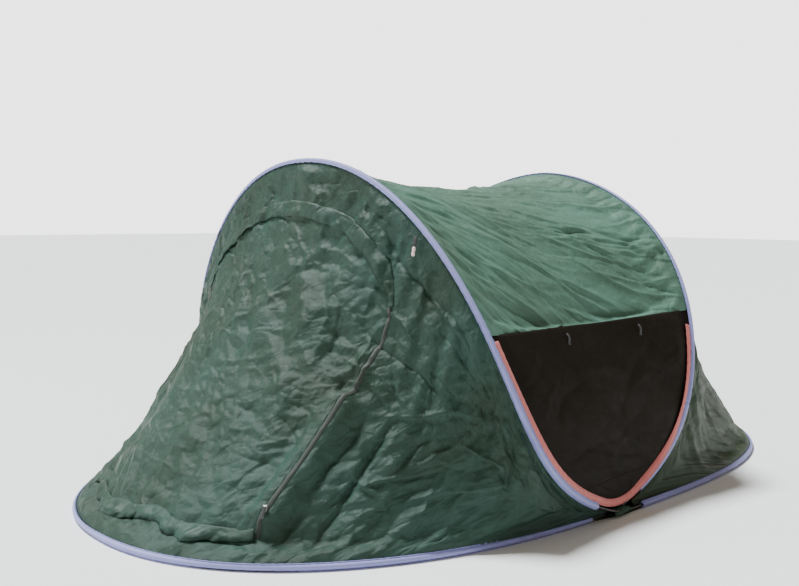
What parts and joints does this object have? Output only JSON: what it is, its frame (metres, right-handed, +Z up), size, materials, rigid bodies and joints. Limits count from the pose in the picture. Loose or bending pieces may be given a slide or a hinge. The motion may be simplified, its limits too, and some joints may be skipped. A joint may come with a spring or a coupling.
{
  "type": "pop up tent",
  "caption": "Low tent of two sprung rings crossing at the sides, with sleeved hoops, a sloping zipped door, dark side panels and a groundsheet; it folds flat along its middle.",
  "frame": {"origin": "centre of the tent's length and width, on the ground under the groundsheet", "axes": "+Z up, the door faces -Y, +X to the right when looking in along +Y at the door"},
  "size_m": [1.5436, 2.403, 0.9492],
  "materials": {
    "sleeve_tape": "folded binding tape, lilac",
    "green_cloth": "coated polyester, satin, grey green",
    "dark_cloth": "coated polyester, near black",
    "floor_cloth": "coated groundsheet cloth",
    "pink_tape": "folded stitched tape, salmon pink",
    "black_webbing": "woven webbing, black",
    "rod": "glass-fibre rod in black jacket",
    "steel": "plated steel",
    "toggle": "moulded, pale pink"
  },
  "bodies": {
    "rear_floor": {"rear_floor_rod": "rod", "rear_floor_sleeve": "sleeve_tape", "rear_leg_rod_right": "rod", "rear_leg_rod_left": "rod", "rear_leg_sleeve_right": "sleeve_tape", "rear_leg_sleeve_left": "sleeve_tape", "groundsheet_rear": "floor_cloth", "rear_wall": "green_cloth", "crossing_tab_right": "green_cloth", "crossing_tab_left": "green_cloth"},
    "rear_arch": {"rear_arch_rod_right": "rod", "rear_arch_rod_left": "rod", "rear_arch_sleeve": "sleeve_tape", "rear_ring_ferrule": "steel", "roof_panel": "green_cloth", "side_panel_right": "dark_cloth", "side_panel_left": "dark_cloth", "side_binding_right": "pink_tape", "side_binding_left": "pink_tape", "cover_tie_front_right": "black_webbing", "cover_tie_rear_right": "black_webbing", "cover_tie_front_left": "black_webbing", "cover_tie_rear_left": "black_webbing"},
    "front_arch": {"front_arch_rod_right": "rod", "front_arch_rod_left": "rod", "front_arch_sleeve": "sleeve_tape", "front_ring_ferrule": "steel", "tieback_loop_right": "black_webbing", "tieback_loop_left": "black_webbing"},
    "front_floor": {"front_floor_rod": "rod", "front_floor_sleeve": "sleeve_tape", "front_leg_rod_right": "rod", "front_leg_rod_left": "rod", "front_leg_sleeve_right": "sleeve_tape", "front_leg_sleeve_left": "sleeve_tape", "groundsheet_front": "floor_cloth", "front_wall": "green_cloth", "door_zip_tape": "dark_cloth", "door_storm_flap": "green_cloth"},
    "door": {"door_panel": "green_cloth"},
    "zip_slider": {"zip_slider": "steel"},
    "zip_pull": {"zip_pull": "black_webbing"},
    "tieback_toggle": {"tieback_toggle": "toggle"}
  },
  "joints": [
    {"name": "rear_arch_fold", "type": "hinge", "parent": "rear_floor", "child": "rear_arch", "pos_m": [0, 0.1363, 0.1071], "axis": [-1, 0, 0], "range_deg": [0, 56], "stiffness_Nm_per_rad": 12, "springref_deg": -34.38, "deforming": ["rear_wall", "crossing_tab_right", "crossing_tab_left", "side_binding_right", "side_binding_left", "cover_tie_front_right", "cover_tie_rear_right", "cover_tie_front_left", "cover_tie_rear_left"]},
    {"name": "arches_fold", "type": "hinge", "parent": "rear_arch", "child": "front_arch", "pos_m": [0, -0.10956, -0.97275], "axis": [-1, 0, 0], "range_deg": [0, 26], "deforming": ["roof_panel", "side_panel_right", "side_panel_left"]},
    {"name": "front_floor_fold", "type": "hinge", "parent": "front_arch", "child": "front_floor", "pos_m": [0, -0.32378, 0.11231], "axis": [-1, 0, 0], "range_deg": [0, 60], "deforming": ["front_wall", "door_panel", "door_zip_tape", "door_storm_flap"]},
    {"name": "door_swing", "type": "hinge", "parent": "front_floor", "child": "door", "pos_m": [-0.3695, -1.0182, 0.054], "axis": [-0.0682, 0.6162, 0.7847], "range_deg": [-135, 0]},
    {"name": "zip_travel", "type": "slide", "parent": "front_floor", "child": "zip_slider", "axis": [0.0646, 0.6658, 0.7434], "range_m": [0, 0.3]},
    {"name": "zip_pull_swing", "type": "hinge", "parent": "zip_slider", "child": "zip_pull", "pos_m": [0.38395, -0.97637, 0.12864], "axis": [-0.8049, -0.5934, 0], "range_deg": [0, 120]},
    {"name": "tieback_toggle_swing", "type": "hinge", "parent": "front_arch", "child": "tieback_toggle", "pos_m": [0.45083, -0.57232, 0.71395], "axis": [-0.9091, -0.4166, 0], "range_deg": [0, 100]}
  ],
  "couplings": [
    {"joint": "arches_fold", "follows": "rear_arch_fold", "ratio": 0.46429},
    {"joint": "front_floor_fold", "follows": "rear_arch_fold", "ratio": 1.0714}
  ]
}
